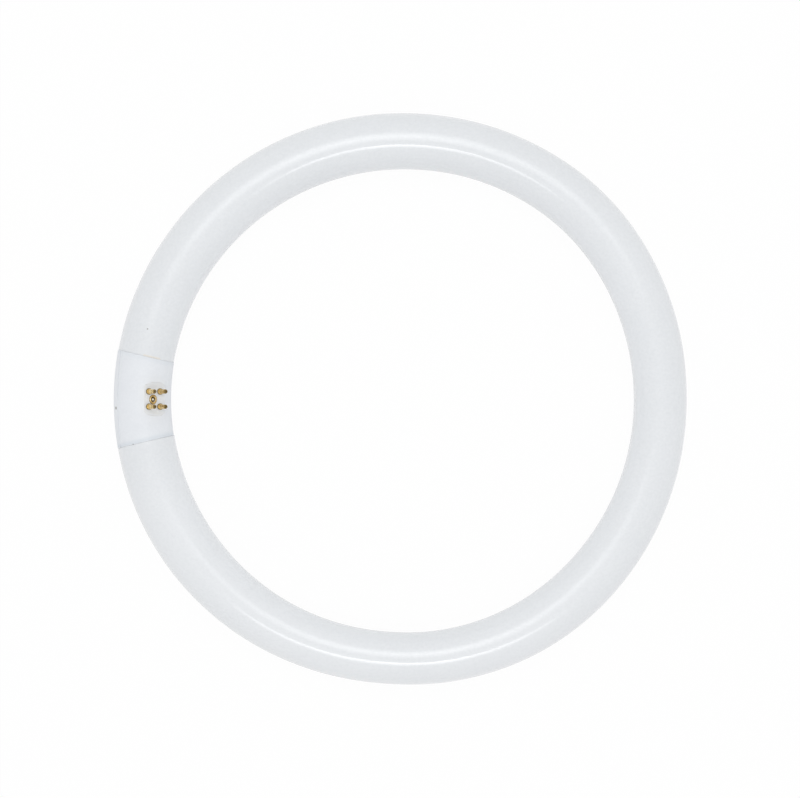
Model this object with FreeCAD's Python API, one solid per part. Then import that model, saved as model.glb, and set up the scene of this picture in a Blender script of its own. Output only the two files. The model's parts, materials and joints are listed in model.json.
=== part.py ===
import FreeCAD, Part
import math
import os
from FreeCAD import Vector

# Circular fluorescent lamp, in millimetres, lying flat with +Z up.
# A sealed glass tube is bent into a ring. Its two necked ends meet inside a moulded cap of two
# halves, held together by one rivet. Four hollow pins stand on a flat pad of the cap, leaning
# from the ring's axis towards its centre, and a lead wire runs from each pin to a glass stem.
# The origin is on the resting surface, under the ring's centre. The cap is on the -X side.

# Ring and glass
RING_OUTER_DIAMETER = 305.0
TUBE_DIAMETER = 29.0
SHOULDER_ROUND = 0.6
NECK_ROOT_ROUND = 0.4
END_GAP = 17.0              # between the two sealed ends, along the tube's centre line
END_RIM_WIDTH = 2.8         # glass rim around the mouth of the stem
END_RIM_ROUND = 1.2
STEM_DEPTH = 16.0           # from the rim to the pinch that seals the wires
STEM_FLARE_DEPTH = 9.0      # the trumpet-shaped part of that depth
STEM_THROAT_DIAMETER = 8.0
EXHAUST_TIP_DIAMETER = 3.6
EXHAUST_TIP_LENGTH = 11.0

# Cap
CAP_PROUD = 0.4             # how far the cap stands above the tube's surface
CAP_WALL = 1.6
CAP_LENGTH = 46.0           # along the tube's centre line
CAP_END_SLANT = 3.9         # degrees from square, so that the cap is longest on its outer side
CAP_RIM_ROUND = 0.2
CAP_RIM_GAP = 0.25          # between a rim of the cap and the glass shoulder
NECK_CLEARANCE = 0.3        # between the cap's bore and the glass neck
PARTING_OFFSET = 1.6        # parting plane, from the tube's centre line towards the pins
PARTING_GROOVE_WIDTH = 0.3
PARTING_GROOVE_DEPTH = 0.3
STOP_RIB_WIDTH = 1.2        # ribs that stop the glass ends
STOP_RIB_HEIGHT = 3.0
STOP_RIB_CLEARANCE = 0.3

# Pin pad
PIN_TILT = 39.0             # degrees, from the ring's axis towards its centre
PIN_PITCH_ALONG = 7.92      # along the tube
PIN_PITCH_ACROSS = 6.35
PAD_DEPTH = 1.2             # below the crown of the cap
PAD_LENGTH = 19.0           # along the tube
PAD_END_ROUND = 3.5         # where the pad's two ends curve up to the crown
PAD_THICKNESS = 3.0

# Contact pins
PIN_DIAMETER = 2.3
PIN_LENGTH = 6.8            # from the pad to the tip
PIN_BORE = 1.0
PIN_TIP_ROUND = 0.6
PIN_COLLAR_DIAMETER = 3.3
PIN_COLLAR_HEIGHT = 1.0
PIN_COLLAR_ROUND = 0.3
PIN_CLINCH_DIAMETER = 3.2   # the flange that is rolled over behind the pad
PIN_CLINCH_HEIGHT = 0.5

# Rivet
RIVET_OFFSET = 1.2          # across the pad, from its middle towards the outer pins
RIVET_DIAMETER = 3.0
RIVET_RING_DIAMETER = 4.7   # the end that is rolled over on the pad
RIVET_RING_HEIGHT = 0.6
RIVET_HOLE_DIAMETER = 2.1
RIVET_HOLE_DEPTH = 1.8
RIVET_HEAD_DIAMETER = 5.6
RIVET_HEAD_HEIGHT = 0.8
RIVET_SEAT_DEPTH = 1.2      # below the back of the cap
RIVET_SEAT_CLEARANCE = 0.2
POST_WALL = 1.0             # around the rivet, between the two halves

# Lead wires
WIRE_DIAMETER = 0.7
WIRE_PITCH = 5.8            # between the two wires of one stem
WIRE_RECESS = 1.2           # from the tip of the pin to the end of the wire
WIRE_DROP = 4.0             # straight run below the pin, before the bend
WIRE_STEM_RUN = 8.0         # straight run above the pinch
WIRE_BEND_RADIUS = 2.0

# A fit clearance shared by the holes for the pins and the rivet
HOLE_CLEARANCE = 0.05

# Sizes that follow from those above
tube_radius = TUBE_DIAMETER / 2
ring_radius = (RING_OUTER_DIAMETER - TUBE_DIAMETER) / 2
ring_length = 2 * math.pi * ring_radius
cap_radius = tube_radius + CAP_PROUD
bore_radius = cap_radius - CAP_WALL
neck_radius = bore_radius - NECK_CLEARANCE
cap_half = CAP_LENGTH / 2
shoulder_place = cap_half + CAP_RIM_GAP
end_place = END_GAP / 2
stop_place = end_place - STOP_RIB_CLEARANCE
mouth_radius = neck_radius - END_RIM_WIDTH
throat_radius = STEM_THROAT_DIAMETER / 2
pad_height = cap_radius - PAD_DEPTH
pad_back = pad_height - PAD_THICKNESS
post_radius = RIVET_DIAMETER / 2 + HOLE_CLEARANCE + POST_WALL
rivet_seat = cap_radius - RIVET_SEAT_DEPTH
beyond = cap_radius + TUBE_DIAMETER     # past every surface of the cap
slant = math.radians(CAP_END_SLANT)
slant_reach = cap_radius * math.tan(slant) + CAP_WALL   # past every point of a slanted end

# Directions at the middle of the cap: along the tube, out along the pins, and across the pad
ring_centre = Vector(0, 0, cap_radius)
ring_axis = Vector(0, 0, 1)
tilt = math.radians(PIN_TILT)
along = Vector(0, 1, 0)
outward = Vector(math.sin(tilt), 0, math.cos(tilt))
across = Vector(math.cos(tilt), 0, -math.sin(tilt))
cap_middle = ring_centre - Vector(ring_radius, 0, 0)


def tube_point(place):
    """Point of the tube's centre line at a distance along it from the middle of the cap."""
    turn = place / ring_radius
    return ring_centre + Vector(-math.cos(turn), math.sin(turn), 0) * ring_radius


def tube_direction(place):
    """Direction of the tube's centre line at that distance."""
    turn = place / ring_radius
    return Vector(math.sin(turn), math.cos(turn), 0)


def tube_across(place):
    """Direction across the tube at that distance, which is the pad's own at the middle of the cap."""
    turn = place / ring_radius
    to_centre = Vector(math.cos(turn), -math.sin(turn), 0)
    return to_centre * math.cos(tilt) - ring_axis * math.sin(tilt)


def bent_rod(radius, start, end):
    """Round rod that follows the tube's centre line from one place to another."""
    section = Part.Face(Part.Wire(Part.makeCircle(radius, tube_point(start), tube_direction(start))))
    return section.revolve(ring_centre, ring_axis, -math.degrees((end - start) / ring_radius))


def pad_point(s, t, n):
    """Point at s along the tube, t across the pad and n out along the pins, from the cap's middle."""
    return cap_middle + along * s + across * t + outward * n


def pad_block(s_half, t_half, n_low, n_high):
    """Block that stands square on the pad's directions, centred over the cap's middle."""
    corners = [pad_point(s, t, n_low) for s, t in
               ((-s_half, -t_half), (s_half, -t_half), (s_half, t_half), (-s_half, t_half))]
    base = Part.Face(Part.makePolygon(corners + corners[:1]))
    return base.extrude(outward * (n_high - n_low))


def pad_cylinder(radius, n_low, n_high, s=0.0, t=0.0):
    """Cylinder along the pins' direction."""
    return Part.makeCylinder(radius, n_high - n_low, pad_point(s, t, n_low), outward)


def rim_edges(shape, radius, place):
    """The circular edges of that radius, about the tube's centre line at that place."""
    centre = tube_point(place)
    return [edge for edge in shape.Edges
            if isinstance(edge.Curve, Part.Circle)
            and abs(edge.Curve.Radius - radius) < 1e-4
            and edge.Curve.Center.distanceToPoint(centre) < 1e-4]


def end_plane(place):
    """Point and normal of the slanted plane across the tube at that place. It faces off the cap."""
    to_centre = (ring_centre - tube_point(place)).normalize()
    off_cap = tube_direction(place) * math.copysign(1, place)
    return tube_point(place), off_cap * math.cos(slant) + to_centre * math.sin(slant)


def end_block(place, depth):
    """Block across the tube that starts at that slanted plane and goes off the cap by the depth."""
    point, normal = end_plane(place)
    level = normal.cross(ring_axis) * beyond
    low = point - ring_axis * beyond
    high = point + ring_axis * beyond
    corners = [low - level, low + level, high + level, high - level]
    return Part.Face(Part.makePolygon(corners + corners[:1])).extrude(normal * depth)


def end_edges(shape, radius, place):
    """The edges in that slanted plane that are at the radius from the tube's centre line."""
    base, normal = end_plane(place)
    edges = []
    for edge in shape.Edges:
        points = edge.discretize(5)
        offset = points[1] - ring_centre
        reach = math.hypot(math.hypot(offset.x, offset.y) - ring_radius, offset.z)
        flat = all(abs((point - base).dot(normal)) < 1e-4 for point in points)
        if flat and abs(reach - radius) < 1e-3:
            edges.append(edge)
    return edges


def turned(outline, base, axis):
    """Solid of revolution. The outline is edges in (radius, height) form, about an axis from base."""
    face = Part.Face(Part.Wire(outline))
    solid = face.revolve(Vector(0, 0, 0), Vector(0, 0, 1), 360)
    solid.Placement = FreeCAD.Placement(base, FreeCAD.Rotation(Vector(0, 0, 1), axis))
    return solid


def outline_of(steps):
    """Edges of a closed outline. A step is a (radius, height) point, or a pair of them for an arc."""
    edges = []
    last = Vector(steps[0][0], 0, steps[0][1])
    for step in steps[1:] + steps[:1]:
        if isinstance(step[0], tuple):
            middle, end = (Vector(radius, 0, height) for radius, height in step)
            edges.append(Part.Arc(last, middle, end).toShape())
        else:
            end = Vector(step[0], 0, step[1])
            edges.append(Part.LineSegment(last, end).toShape())
        last = end
    return edges


def corner_arc(radius, height, round_radius):
    """Step of an outline that rounds the upper outer corner at (radius, height)."""
    rest = round_radius * (1 - math.sqrt(0.5))
    return (radius - rest, height - rest), (radius - round_radius, height)


# Glass


def stem_cavity(place, direction):
    """Hollow of the re-entrant stem: a trumpet mouth that narrows to a straight throat."""
    drop = mouth_radius - throat_radius
    bell = (drop ** 2 + STEM_FLARE_DEPTH ** 2) / (2 * drop)
    half_depth = STEM_FLARE_DEPTH / 2
    waist = throat_radius + bell - math.sqrt(bell ** 2 - half_depth ** 2)
    outline = outline_of([
        (0, 0),
        (mouth_radius, 0),
        ((waist, half_depth), (throat_radius, STEM_FLARE_DEPTH)),
        (throat_radius, STEM_DEPTH),
        (0, STEM_DEPTH),
    ])
    return turned(outline, tube_point(place), direction)


def exhaust_tip(place, direction):
    """Sealed stub of the tube that the lamp was pumped through, standing on the pinch."""
    radius = EXHAUST_TIP_DIAMETER / 2
    dome = radius * math.sqrt(0.5)
    top = EXHAUST_TIP_LENGTH - radius
    outline = outline_of([
        (0, -radius),
        (radius, -radius),
        (radius, top),
        ((dome, top + dome), (0, EXHAUST_TIP_LENGTH)),
    ])
    return turned(outline, tube_point(place) + direction * STEM_DEPTH, -direction)


def make_glass_tube():
    """The bent tube as one sealed solid, with a neck and a re-entrant stem at each end."""
    start = shoulder_place - slant_reach
    body = bent_rod(tube_radius, start, ring_length - start)
    body = body.cut([end_block(place, -2 * slant_reach) for place in (shoulder_place, -shoulder_place)])
    neck_root = shoulder_place + slant_reach
    neck = bent_rod(neck_radius, end_place, neck_root)
    far_neck = bent_rod(neck_radius, -neck_root, -end_place)
    glass = body.fuse([neck, far_neck])
    for radius, round_radius in ((tube_radius, SHOULDER_ROUND), (neck_radius, NECK_ROOT_ROUND)):
        edges = end_edges(glass, radius, shoulder_place) + end_edges(glass, radius, -shoulder_place)
        glass = glass.makeFillet(round_radius, edges)
    tips = rim_edges(glass, neck_radius, end_place) + rim_edges(glass, neck_radius, -end_place)
    glass = glass.makeFillet(END_RIM_ROUND, tips)
    for place in (end_place, -end_place):
        glass = glass.cut(stem_cavity(place, tube_direction(place) * math.copysign(1, place)))
    mouths = rim_edges(glass, mouth_radius, end_place) + rim_edges(glass, mouth_radius, -end_place)
    glass = glass.makeFillet(END_RIM_ROUND, mouths)
    return glass.fuse(exhaust_tip(end_place, tube_direction(end_place)))


# Cap


def pad_space():
    """Space over the flat pad, with the two ends that curve up to the crown of the cap."""
    half = PAD_LENGTH / 2
    flat = half - PAD_END_ROUND
    bend = PAD_END_ROUND * math.sqrt(0.5)

    def place(s, n):
        return pad_point(s, -beyond, pad_height + n)

    rise = PAD_END_ROUND
    edges = [
        Part.LineSegment(place(-flat, 0), place(flat, 0)).toShape(),
        Part.Arc(place(flat, 0), place(flat + bend, rise - bend), place(half, rise)).toShape(),
        Part.LineSegment(place(half, rise), place(half, beyond)).toShape(),
        Part.LineSegment(place(half, beyond), place(-half, beyond)).toShape(),
        Part.LineSegment(place(-half, beyond), place(-half, rise)).toShape(),
        Part.Arc(place(-half, rise), place(-flat - bend, rise - bend), place(-flat, 0)).toShape(),
    ]
    return Part.Face(Part.Wire(edges)).extrude(across * (2 * beyond))


def cap_shell():
    """Both halves of the cap in one: the bent outside, the flat pad, the bore and the rivet's post."""
    outside = bent_rod(cap_radius, -cap_half - slant_reach, cap_half + slant_reach)
    outside = outside.cut([end_block(place, 2 * slant_reach) for place in (cap_half, -cap_half)])
    rims = end_edges(outside, cap_radius, cap_half) + end_edges(outside, cap_radius, -cap_half)
    outside = outside.makeFillet(CAP_RIM_ROUND, rims)
    seat_radius = RIVET_HEAD_DIAMETER / 2 + RIVET_SEAT_CLEARANCE
    rivet_space = pad_cylinder(seat_radius, -beyond, -rivet_seat, t=-RIVET_OFFSET)
    rivet_hole = pad_cylinder(RIVET_DIAMETER / 2 + HOLE_CLEARANCE, -beyond, beyond, t=-RIVET_OFFSET)
    sockets = bent_rod(bore_radius, stop_place, beyond), bent_rod(bore_radius, -beyond, -stop_place)
    behind_pad = pad_block(beyond, beyond, pad_back, beyond)
    post = pad_cylinder(post_radius, -beyond, beyond, t=-RIVET_OFFSET)
    middle = bent_rod(bore_radius, -stop_place, stop_place).cut(behind_pad).cut(post)
    return outside.cut([pad_space(), rivet_space, rivet_hole, middle, *sockets])


def parting_groove():
    """Fine groove that marks where the two halves meet."""
    half_width = PARTING_GROOVE_WIDTH / 2
    slab = pad_block(beyond, beyond, PARTING_OFFSET - half_width, PARTING_OFFSET + half_width)
    return slab.cut(bent_rod(cap_radius - PARTING_GROOVE_DEPTH, -beyond, beyond))


def pin_places():
    """The pins' places on the pad, as (along, across)."""
    return [(s * PIN_PITCH_ALONG / 2, t * PIN_PITCH_ACROSS / 2) for s in (1, -1) for t in (-1, 1)]


def make_cap_pin_half(shell):
    """The half with the flat pad, drilled for the pins."""
    half = shell.common(pad_block(beyond, beyond, PARTING_OFFSET, beyond))
    radius = PIN_DIAMETER / 2 + HOLE_CLEARANCE
    holes = [pad_cylinder(radius, 0, beyond, s, t) for s, t in pin_places()]
    return half.cut(holes)


def stop_ribs():
    """Two ribs on the bore that keep the sealed glass ends apart."""
    near = stop_place - STOP_RIB_WIDTH
    rings = []
    for low, high in ((near, stop_place), (-stop_place, -near)):
        disc = bent_rod(bore_radius + CAP_WALL / 2, low, high)
        rings.append(disc.cut(bent_rod(bore_radius - STOP_RIB_HEIGHT, low, high)))
    return rings


def make_cap_rear_half(shell):
    """The half that wraps the back of the glass ends."""
    below = pad_block(beyond, beyond, -beyond, PARTING_OFFSET)
    half = shell.common(below)
    for rib in stop_ribs():
        half = half.fuse(rib.common(below))
    return half


# Metal


def make_contact_pin(s, t):
    """Hollow pin with a collar on the pad, clinched over behind it."""
    pin_radius = PIN_DIAMETER / 2
    bore = PIN_BORE / 2
    collar = PIN_COLLAR_DIAMETER / 2
    clinch = PIN_CLINCH_DIAMETER / 2
    low = -PAD_THICKNESS - PIN_CLINCH_HEIGHT
    outline = outline_of([
        (bore, low),
        (clinch, low),
        (clinch, -PAD_THICKNESS),
        (pin_radius, -PAD_THICKNESS),
        (pin_radius, 0),
        (collar, 0),
        (collar, PIN_COLLAR_HEIGHT - PIN_COLLAR_ROUND),
        corner_arc(collar, PIN_COLLAR_HEIGHT, PIN_COLLAR_ROUND),
        (pin_radius, PIN_COLLAR_HEIGHT),
        (pin_radius, PIN_LENGTH - PIN_TIP_ROUND),
        corner_arc(pin_radius, PIN_LENGTH, PIN_TIP_ROUND),
        (bore, PIN_LENGTH),
    ])
    return turned(outline, pad_point(s, t, pad_height), outward)


def make_cap_rivet():
    """Semi-tubular rivet: a head at the back of the cap and a rolled ring on the pad."""
    shank = RIVET_DIAMETER / 2
    hole = RIVET_HOLE_DIAMETER / 2
    ring = RIVET_RING_DIAMETER / 2
    head = RIVET_HEAD_DIAMETER / 2
    head_base = -rivet_seat
    crown = head_base - RIVET_HEAD_HEIGHT
    ring_top = pad_height + RIVET_RING_HEIGHT
    hole_floor = ring_top - RIVET_HOLE_DEPTH
    rolled_middle = (ring + hole) / 2
    outline = outline_of([
        (0, crown),
        (head - RIVET_HEAD_HEIGHT, crown),
        ((head - RIVET_HEAD_HEIGHT * (1 - math.sqrt(0.5)), head_base - RIVET_HEAD_HEIGHT * math.sqrt(0.5)),
         (head, head_base)),
        (shank, head_base),
        (shank, pad_height),
        (ring, pad_height),
        ((rolled_middle, ring_top), (hole, pad_height)),
        (hole, hole_floor),
        (0, hole_floor),
    ])
    return turned(outline, pad_point(0, -RIVET_OFFSET, 0), outward)


# Lead wires


def rounded_path(points, radius):
    """Wire of straight runs through the points, joined by tangent arcs of one radius."""
    edges = []
    last = points[0]
    for before, corner, after in zip(points, points[1:], points[2:]):
        back = (before - corner).normalize()
        ahead = (after - corner).normalize()
        half_turn = (math.pi - back.getAngle(ahead)) / 2
        reach = radius * math.tan(half_turn)
        bulge = radius / math.cos(half_turn) - radius
        middle = corner + (back + ahead).normalize() * bulge
        edges.append(Part.LineSegment(last, corner + back * reach).toShape())
        last = corner + ahead * reach
        edges.append(Part.Arc(corner + back * reach, middle, last).toShape())
    edges.append(Part.LineSegment(last, points[-1]).toShape())
    return Part.Wire(edges)


def make_lead_wire(s, t):
    """Wire from inside a pin, round into the nearer stem and down to its pinch."""
    place = math.copysign(end_place, s)
    inward = tube_direction(place) * math.copysign(1, s)
    aside = tube_across(place) * math.copysign(WIRE_PITCH / 2, t)
    pinch = tube_point(place) + inward * STEM_DEPTH + aside
    points = [
        pad_point(s, t, pad_height + PIN_LENGTH - WIRE_RECESS),
        pad_point(s, t, pad_back - PIN_CLINCH_HEIGHT - WIRE_DROP),
        pinch - inward * WIRE_STEM_RUN,
        pinch,
    ]
    path = rounded_path(points, WIRE_BEND_RADIUS)
    section = Part.Wire(Part.makeCircle(WIRE_DIAMETER / 2, points[0], -outward))
    return path.makePipeShell([section], True, False)


def main():
    shell = cap_shell().cut(parting_groove())
    nodes = {
        "glass_tube": make_glass_tube(),
        "cap_pin_half": make_cap_pin_half(shell),
        "cap_rear_half": make_cap_rear_half(shell),
        "cap_rivet": make_cap_rivet(),
    }
    for number, (s, t) in enumerate(pin_places(), 1):
        nodes[f"contact_pin_{number}"] = make_contact_pin(s, t)
        nodes[f"lead_wire_{number}"] = make_lead_wire(s, t)
    os.makedirs("parts", exist_ok=True)
    for name, shape in nodes.items():
        shape.exportStep(f"parts/{name}.step")
        print(name, shape.isValid(), len(shape.Solids), "solid", round(shape.Volume, 2), "mm3")


main()
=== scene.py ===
"""Looks of a circular fluorescent tube: its uneven glass ring, moulded cap, brass pins and studio."""

import json
import logging
import math
from dataclasses import dataclass
from enum import Enum
from typing import Any, Mapping, Sequence, Union

import bpy
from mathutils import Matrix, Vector


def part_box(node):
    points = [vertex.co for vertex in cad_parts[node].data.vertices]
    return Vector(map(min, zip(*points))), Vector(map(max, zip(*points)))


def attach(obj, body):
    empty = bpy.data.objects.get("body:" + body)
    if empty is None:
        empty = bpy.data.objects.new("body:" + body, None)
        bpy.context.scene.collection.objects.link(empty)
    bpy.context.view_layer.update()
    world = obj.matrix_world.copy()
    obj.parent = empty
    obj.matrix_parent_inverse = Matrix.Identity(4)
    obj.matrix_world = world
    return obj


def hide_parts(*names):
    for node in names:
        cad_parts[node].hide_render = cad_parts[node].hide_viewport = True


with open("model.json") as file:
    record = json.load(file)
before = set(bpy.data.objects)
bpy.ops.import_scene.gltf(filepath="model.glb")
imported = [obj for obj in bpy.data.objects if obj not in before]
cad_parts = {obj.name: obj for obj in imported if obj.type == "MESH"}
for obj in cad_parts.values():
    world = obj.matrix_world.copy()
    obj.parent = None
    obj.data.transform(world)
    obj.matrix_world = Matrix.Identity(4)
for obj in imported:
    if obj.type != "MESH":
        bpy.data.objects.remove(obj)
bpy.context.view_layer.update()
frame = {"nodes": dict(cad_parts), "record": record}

LOG = logging.getLogger("ring_lamp")
MM = 0.001
BODY = "root"

# Sizes of the solids that the frame doesn't state
CAP_SLANT = math.radians(3.9)
RIM_LOSS = 0.045 * MM       # a rounded rim ends this much short of its sharp corner
COLLAR_HEIGHT = 1.0 * MM

SIDE_STEP = 1 * MM          # width of the step between the two sides of a plane

Colour = tuple[float, float, float]
WHITE: Colour = (1.0, 1.0, 1.0)
Number = Union[float, "Field"]


class Slot(Enum):
    """Material slots of the record."""

    GLASS = "coated_glass"
    PLASTIC = "cap_plastic"
    BRASS = "pin_brass"
    WIRE = "lead_metal"


class End(Enum):
    """The two ends of the tube, by the side of the cap that they are on."""

    UPPER = 1
    LOWER = -1


# Places that come from the frame


@dataclass(frozen=True)
class Layout:
    """Where the ring, the cap and the pins are, in metres.

    Attributes:
        ring_radius: radius of the tube's centre line.
        height: height of the ring's plane over the floor.
        cap_radius: outer radius of the cap.
        cap_half: half of the cap's length along the centre line.
        cap_slant: how far the cap's ends lean from square, in radians.
        pin_axis: direction that the pins point in.
        pin_places: a point on each pin's axis, halfway up its free wall.
        pin_wall: length of a pin's free wall.
        collar_height: height of a pin's collar over the pad.
    """

    ring_radius: float
    height: float
    cap_radius: float
    cap_half: float
    cap_slant: float
    pin_axis: Vector
    pin_places: tuple[Vector, ...]
    pin_wall: float
    collar_height: float

    @classmethod
    def from_frame(cls) -> "Layout":
        """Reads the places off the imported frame.

        Returns:
            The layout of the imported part.
        """
        cap_low, cap_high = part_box("cap_rear_half")
        mounts = frame["record"]["mounts"]
        seat_place = next(mount["pos_m"] for mount in mounts if mount["name"] == "clip_seat")
        ring_radius, height = seat_place[0], seat_place[2]
        cap_radius = -cap_low.x - ring_radius
        outer, lean = ring_radius + cap_radius, cap_radius * math.tan(CAP_SLANT)
        turn = math.asin((cap_high.y + RIM_LOSS) / math.hypot(outer, lean)) - math.atan2(lean, outer)
        pins = [mount for mount in mounts if mount["kind"] == "pin"]
        return cls(
            ring_radius=ring_radius,
            height=height,
            cap_radius=cap_radius,
            cap_half=turn * ring_radius,
            cap_slant=CAP_SLANT,
            pin_axis=Vector(pins[0]["axis"]).normalized(),
            pin_places=tuple(Vector(pin["pos_m"]) for pin in pins),
            pin_wall=pins[0]["dims"]["length_mm"] * MM,
            collar_height=COLLAR_HEIGHT,
        )

    @property
    def cap_middle(self) -> Vector:
        """Point of the centre line in the middle of the cap."""
        return Vector((-self.ring_radius, 0, self.height))

    @property
    def across(self) -> Vector:
        """Direction across the pin pad, square to the pins and the tube."""
        return Vector((0, 1, 0)).cross(self.pin_axis)

    @property
    def pad_level(self) -> float:
        """Height of the pin pad along the pins, from the cap's middle."""
        reach = (self.pin_places[0] - self.cap_middle).dot(self.pin_axis)
        return reach - self.pin_wall / 2 - self.collar_height

    @property
    def pin_offsets(self) -> tuple[float, float]:
        """Distances of the pins from the middle of the pad, along the tube and across it."""
        pin = self.pin_places[0] - self.cap_middle
        return abs(pin.y), abs(pin.dot(self.across))

    @property
    def rim_turn(self) -> float:
        """Angle between the cap's end planes and the plane through the cap's middle."""
        return self.cap_half / self.ring_radius + self.cap_slant

    @property
    def rim_point(self) -> Vector:
        """Point of the centre line where the cap ends, on the +Y side."""
        turn = self.cap_half / self.ring_radius
        return Vector((-math.cos(turn) * self.ring_radius, math.sin(turn) * self.ring_radius, self.height))


# Shader expressions


class Field:
    """A number that changes over a surface, written in expressions as if it were a plain one."""

    def __init__(self, graph: "Graph", socket: bpy.types.NodeSocket) -> None:
        """Wraps an output socket of a graph's node."""
        self.graph = graph
        self.socket = socket

    def __add__(self, other: Number) -> "Field":
        """Sum."""
        return self.graph.maths("ADD", self, other)

    __radd__ = __add__

    def __sub__(self, other: Number) -> "Field":
        """Difference."""
        return self.graph.maths("SUBTRACT", self, other)

    def __rsub__(self, other: Number) -> "Field":
        """Difference from a plain number."""
        return self.graph.maths("SUBTRACT", other, self)

    def __mul__(self, other: Number) -> "Field":
        """Product."""
        return self.graph.maths("MULTIPLY", self, other)

    __rmul__ = __mul__

    def __truediv__(self, other: Number) -> "Field":
        """Quotient."""
        return self.graph.maths("DIVIDE", self, other)

    def __rtruediv__(self, other: Number) -> "Field":
        """Quotient of a plain number."""
        return self.graph.maths("DIVIDE", other, self)

    def __pow__(self, other: Number) -> "Field":
        """Power."""
        return self.graph.maths("POWER", self, other)

    def __rpow__(self, other: Number) -> "Field":
        """Power of a plain number."""
        return self.graph.maths("POWER", other, self)

    def __abs__(self) -> "Field":
        """Size without its sign."""
        return self.graph.maths("ABSOLUTE", self)

    def least(self, other: Number) -> "Field":
        """The smaller of two."""
        return self.graph.maths("MINIMUM", self, other)

    def most(self, other: Number) -> "Field":
        """The larger of two."""
        return self.graph.maths("MAXIMUM", self, other)

    def rise(self, low: float, high: float) -> "Field":
        """A smooth step from 0 at low to 1 at high, or down where high is the smaller.

        Args:
            low: value at which the step starts.
            high: value at which it is complete.

        Returns:
            The step, between 0 and 1.
        """
        inputs = {"Value": self, 1: min(low, high), 2: max(low, high)}
        node = self.graph.node("ShaderNodeMapRange", {"interpolation_type": "SMOOTHSTEP"}, inputs)
        step = Field(self.graph, node.outputs["Result"])
        return step if low < high else 1 - step


SocketValue = Union[float, Sequence[float], Field, bpy.types.NodeSocket]
Inputs = Mapping[Union[str, int], SocketValue]


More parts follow.
